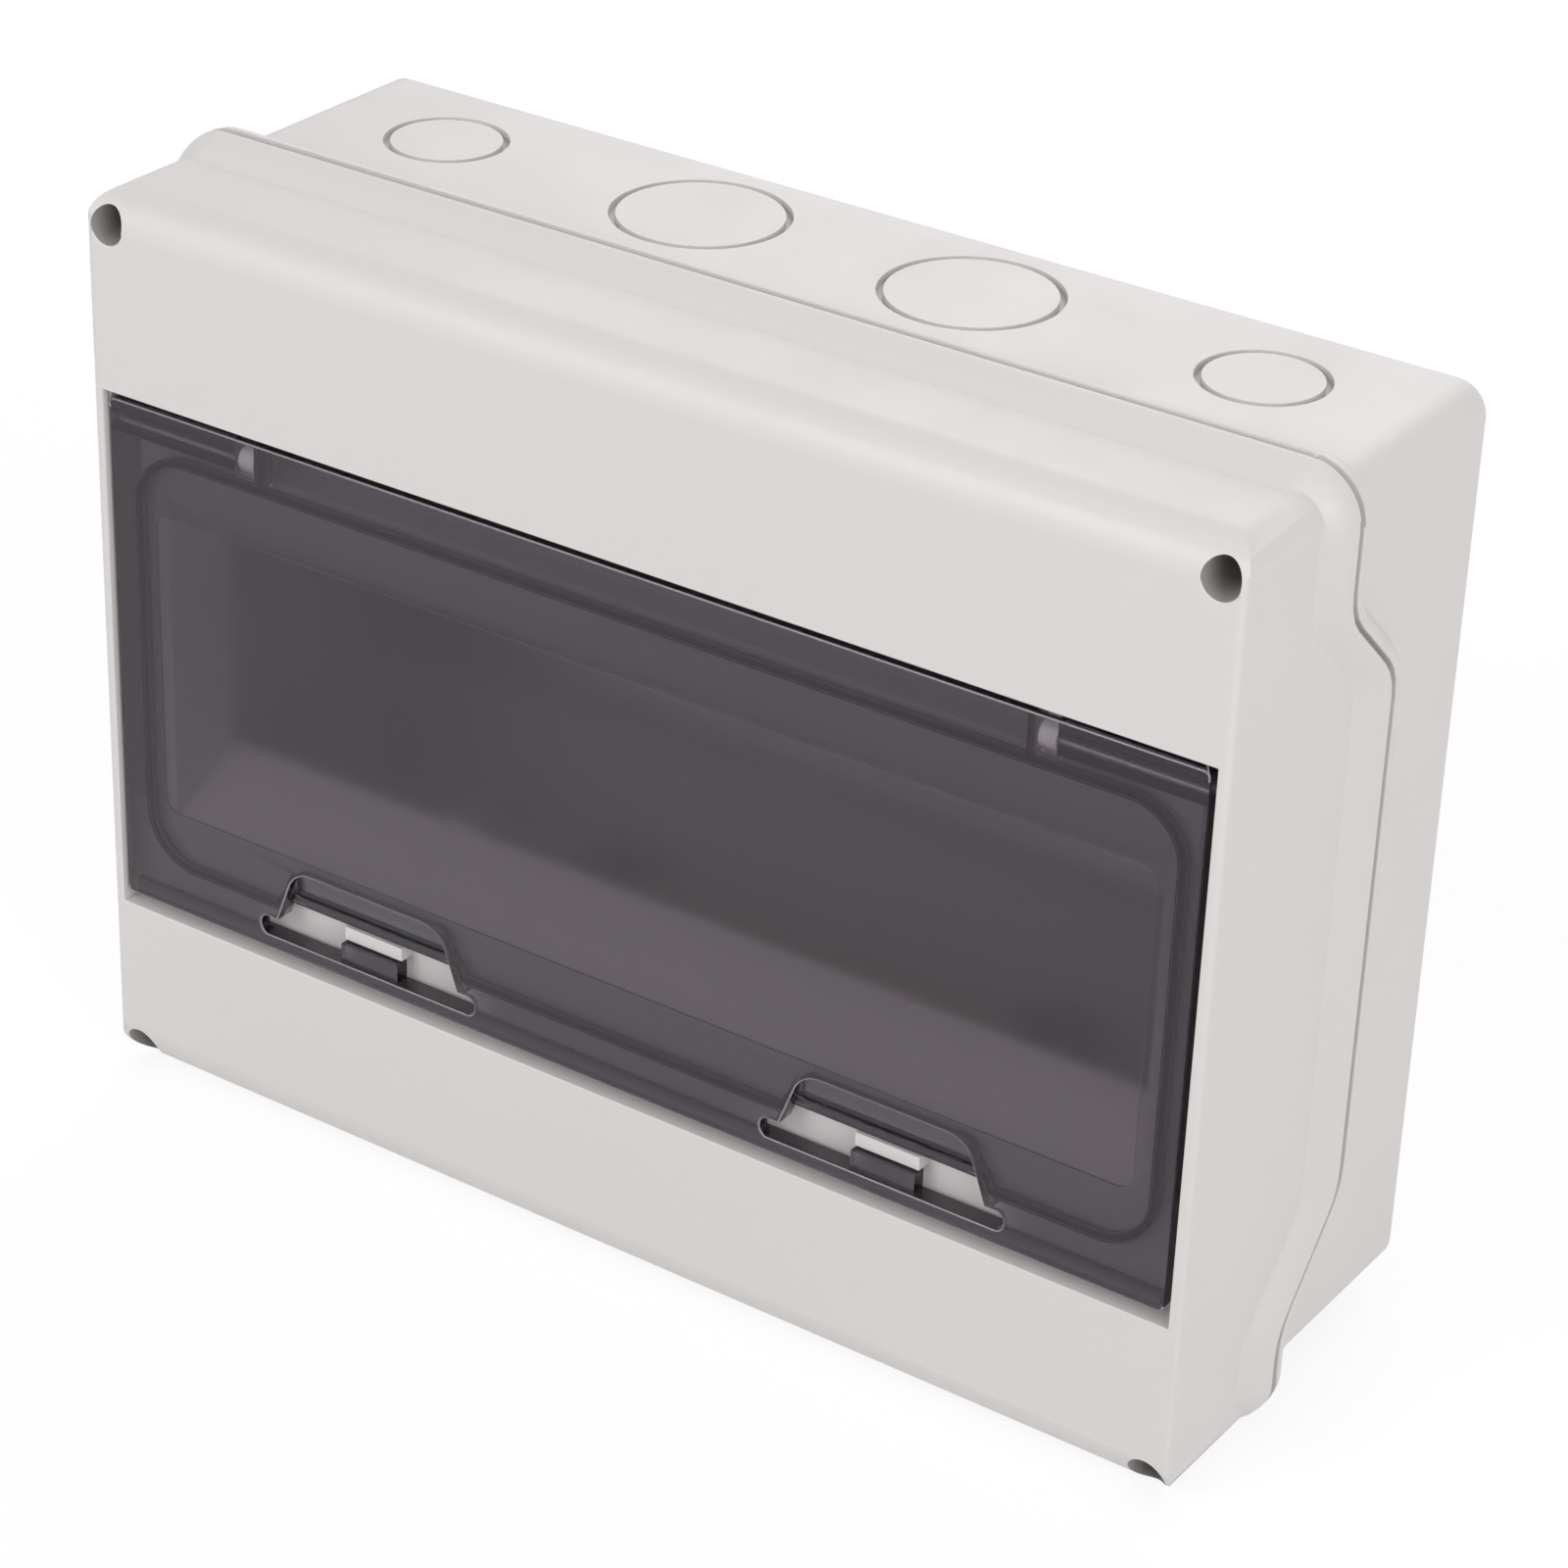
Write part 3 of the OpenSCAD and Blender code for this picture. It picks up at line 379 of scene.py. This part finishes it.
# ---- The cover's gasket ---------------------------------------------------------------
# A square cord of black foam rubber, pressed into the groove in the edge of the base. The
# cover closes on it all round.
foam, tree, skin, place = finish_material("foam_rubber", (0.030, 0.030, 0.032), 0.85)
pore_scale, pore_height = 2200, 0.1 * MM
pores = cloudy(tree, place, pore_scale, 4.0)
tree.links.new(tinted(tree, pores, (0.020, 0.020, 0.022), (0.048, 0.047, 0.050)),
               skin.inputs["Base Color"])
tree.links.new(between(tree, pores, 0.75, 0.95), skin.inputs["Roughness"])
raised(tree, skin, pores, 0.5, pore_height)
dress(foam, "cover_gasket")

# ---- The cover ------------------------------------------------------------------------
# One moulding in the same light grey as the base: a bull-nosed front frame with the deep
# window, the well of each screw, and the raised flange that meets the base in a wave.
front_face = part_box("cover")[0].y
step = 0.02 * MM                    # points closer than this are on the same plane
front_ease = 0.35 * MM
well_x, well_high, well_low = 119.5 * MM, 87.5 * MM, -92.5 * MM
well_radius, well_slack = 3.8 * MM, 0.1 * MM


def on_cover_front(end):
    return abs(end.y - front_face) < step


def in_well(face):
    """Whether a face is on the wall of a screw's well."""
    from_axis = min(math.hypot(abs(face.center.x) - well_x, face.center.z - height)
                    for height in (well_high, well_low))
    return from_axis < well_radius + well_slack and abs(face.normal.y) < 0.5


cover_moulding = eased_copy("cover", "cover_moulding", "cover_body", light_grey,
                            [(on_cover_front, front_ease, -1), (on_flange_rim, rim_ease, -1)])
# Painted shade: the darker grey goes on the lip in the seam's gap and on the walls of the screw
# wells.
cover_moulding.data.materials.append(painted_shade_grey)
for face in cover_moulding.data.polygons:
    if on_lip(face) or in_well(face):
        face.material_index = 1

# ---- The cover's screws and washers ---------------------------------------------------
# Four plated screws deep in their wells, held captive in the cover. Each has a rubber
# washer under its head.
dress(plated_screw, "cover_screws")
dress(foam, "cover_screw_washers")

# ---- The hinge pins -------------------------------------------------------------------
# Two short steel pins, each held by a lug and a blind hole in the cover. The door's
# knuckles turn on them.
dress(plated_screw, "hinge_pin_left", "hinge_pin_right")

# ---- The door -------------------------------------------------------------------------
# A plate of smoked clear polycarbonate with a sealing rib moulded round its back and a
# finger pull over each latch. It hangs on the two pins by knuckles at its top.
smoked, tree, skin, place = finish_material("smoked_polycarbonate", (1, 1, 1), 0.18)
skin.inputs["IOR"].default_value = 1.58
skin.inputs["Transmission Weight"].default_value = 1.0
skin.inputs["Specular Tint"].default_value = (0.95, 0.89, 1.0, 1)
smoke = tree.nodes.new("ShaderNodeVolumeAbsorption")
smoke.inputs["Color"].default_value = (0.36, 0.31, 0.37, 1)
smoke.inputs["Density"].default_value = 650
door_out = tree.nodes["Material Output"]
tree.links.new(smoke.outputs[0], door_out.inputs["Volume"])
rays = tree.nodes.new("ShaderNodeLightPath")
let_through = tree.nodes.new("ShaderNodeBsdfTransparent")
let_through.inputs["Color"].default_value = (0.9, 0.9, 0.9, 1)
shadow_mix = tree.nodes.new("ShaderNodeMixShader")
tree.links.new(rays.outputs["Is Shadow Ray"], shadow_mix.inputs["Fac"])
tree.links.new(skin.outputs[0], shadow_mix.inputs[1])
tree.links.new(let_through.outputs[0], shadow_mix.inputs[2])
tree.links.new(shadow_mix.outputs[0], door_out.inputs["Surface"])
door_front, door_half, door_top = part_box("door")[0].y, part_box("door")[1].x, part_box("door")[1].z
end_reach, top_reach = 2 * MM, 1 * MM       # how much of an end or of the top moves
play = 0.6 * MM                             # how far it moves within its clearance
# Besides the smoked one, the door has two finishes: a painted highlight on its eased front edges,
# and painted shade on its left edge, its right end and the floors of its slits.
painted_highlight, painted_shade_finish = 1, 2                   # the door's finishes besides the smoked one


def on_door_front(end):
    return abs(end.y - door_front) < step


def on_door_left(end):
    return on_door_front(end) and end.x < step - door_half


def on_door_right(end):
    return on_door_front(end) and end.x > door_half - step


def within_its_gaps(at):
    """The door's ends lie to the left in the window, and its top edge is a little high."""
    to_left = -play if abs(at.x) > door_half - end_reach else 0
    up = play if at.z > door_top - top_reach else 0
    return Vector((to_left, 0, up))


door_moulding = eased_copy("door", "door_moulding", "door_body", smoked,
                           [(on_door_left, 0.9 * MM, painted_shade_finish), (on_door_right, 0.4 * MM, 0),
                            (on_door_front, 0.3 * MM, painted_highlight)], settle=within_its_gaps)
door_mesh = door_moulding.data
# A lighter, less clear copy of the smoke on the door's eased front edges: a painted highlight along
# them.
highlight_finish = smoked.copy()
highlight_finish.name = "painted_highlight_edge"
highlight_skin = highlight_finish.node_tree.nodes["Principled BSDF"]
highlight_skin.inputs["Base Color"].default_value = (0.80, 0.77, 0.82, 1)
highlight_skin.inputs["Transmission Weight"].default_value = 0.72
door_mesh.materials.append(highlight_finish)
# A near-black finish that lets little light through: painted shade on the door's eased left edge,
# where the narrow gap beside it lies in shade.
painted_shade_edge = smoked.copy()
painted_shade_edge.name = "painted_shade_door_edge"
painted_shade_skin = painted_shade_edge.node_tree.nodes["Principled BSDF"]
painted_shade_skin.inputs["Base Color"].default_value = (0.035, 0.028, 0.031, 1)
painted_shade_skin.inputs["Transmission Weight"].default_value = 0.1
door_mesh.materials.append(painted_shade_edge)

# The painted shade also covers the floor of each pull's slit and the door's right end, faces that
# lie in shade.
slit_floor, slit_slack = -53.5 * MM, 0.1 * MM
square_to = 0.9                             # a face this square to an axis looks along it
for face in door_mesh.polygons:
    under_slit = (face.normal.z > square_to and abs(face.center.z - slit_floor) < slit_slack
                  and face.center.y > door_front + 0.2 * MM)
    on_right_end = face.normal.x > square_to and face.center.x > door_half - end_reach
    if under_slit or on_right_end:
        face.material_index = painted_shade_finish

# A wall of denser smoke closes the back of each finger pull, under its arch. Its smoke is four times
# as dense as the plate's: in part for the wall's greater thickness, and in part painted shade for
# the shadow behind the wall.
pull_middle, pull_half = 60 * MM, 19 * MM
wall_low, wall_high = -45.4 * MM, -37.6 * MM
wall_front, wall_back = door_front + 2.7 * MM, door_front + 3.9 * MM
wall_round, wall_steps = 2.5 * MM, 5
thick_and_shaded_smoke = smoked.copy()
thick_and_shaded_smoke.name = "thick_and_shaded_polycarbonate"
for node in thick_and_shaded_smoke.node_tree.nodes:
    if node.bl_idname == "ShaderNodeVolumeAbsorption":
        node.inputs["Density"].default_value = 2600
for side_name, side_way in (("left", -1), ("right", 1)):
    wall = bmesh.new()
    bmesh.ops.create_cube(wall, size=1)
    bmesh.ops.scale(wall, verts=wall.verts,
                    vec=(2 * pull_half, wall_back - wall_front, wall_high - wall_low))
    bmesh.ops.translate(wall, verts=wall.verts,
                        vec=(side_way * pull_middle, (wall_front + wall_back) / 2,
                             (wall_low + wall_high) / 2))
    ends = [edge for edge in wall.edges
            if abs(edge.verts[0].co.x - edge.verts[1].co.x) < step
            and abs(edge.verts[0].co.z - edge.verts[1].co.z) < step]
    bmesh.ops.bevel(wall, geom=ends, offset=wall_round, offset_type="OFFSET",
                    segments=wall_steps, profile=0.5, affect="EDGES", clamp_overlap=False,
                    material=-1)
    wall_mesh = bpy.data.meshes.new("pull_wall_" + side_name)
    wall.to_mesh(wall_mesh)
    wall.free()
    pull_wall = bpy.data.objects.new("pull_wall_" + side_name, wall_mesh)
    scene.collection.objects.link(pull_wall)
    wall_mesh.materials.append(thick_and_shaded_smoke)
    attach(pull_wall, "door_body")

# ---- The door's seal ------------------------------------------------------------------
# A strip on the back of the door's rib: a black rubber face against the rib, on light grey
# foam that closes on the cover.
black_face = 0.8 * MM               # depth of the strip's black face
strip_trim = 0.15 * MM              # taken off each side of the strip
seal_foam, tree, skin, place = finish_material("two_part_seal", (0.5, 0.49, 0.485), 0.85)
across_strip = tree.nodes.new("ShaderNodeSeparateXYZ")
tree.links.new(place, across_strip.inputs[0])
behind_face = tree.nodes.new("ShaderNodeMath")
behind_face.operation = "GREATER_THAN"
behind_face.inputs[1].default_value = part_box("door_seal")[0].y + black_face
tree.links.new(across_strip.outputs["Y"], behind_face.inputs[0])
tree.links.new(tinted(tree, behind_face.outputs[0], (0.012, 0.011, 0.013), (0.50, 0.49, 0.485)),
               skin.inputs["Base Color"])
seal_pores = cloudy(tree, place, pore_scale, 4.0)
tree.links.new(between(tree, seal_pores, 0.75, 0.95), skin.inputs["Roughness"])
raised(tree, skin, seal_pores, 0.4, pore_height)
strip = bmesh.new()
strip.from_mesh(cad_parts["door_seal"].data)
bmesh.ops.remove_doubles(strip, verts=strip.verts, dist=same_place)
strip.normal_update()
for corner in strip.verts:
    inward = Vector((corner.normal.x, 0, corner.normal.z))
    if inward.length > 0.1:
        corner.co -= inward.normalized() * strip_trim
for face in strip.faces:
    face.smooth = False
strip_mesh = bpy.data.meshes.new("door_seal_strip")
strip.to_mesh(strip_mesh)
strip.free()
strip_mesh.materials.append(seal_foam)
seal_strip = bpy.data.objects.new("door_seal_strip", strip_mesh)
scene.collection.objects.link(seal_strip)
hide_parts("door_seal")
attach(seal_strip, "door_body")
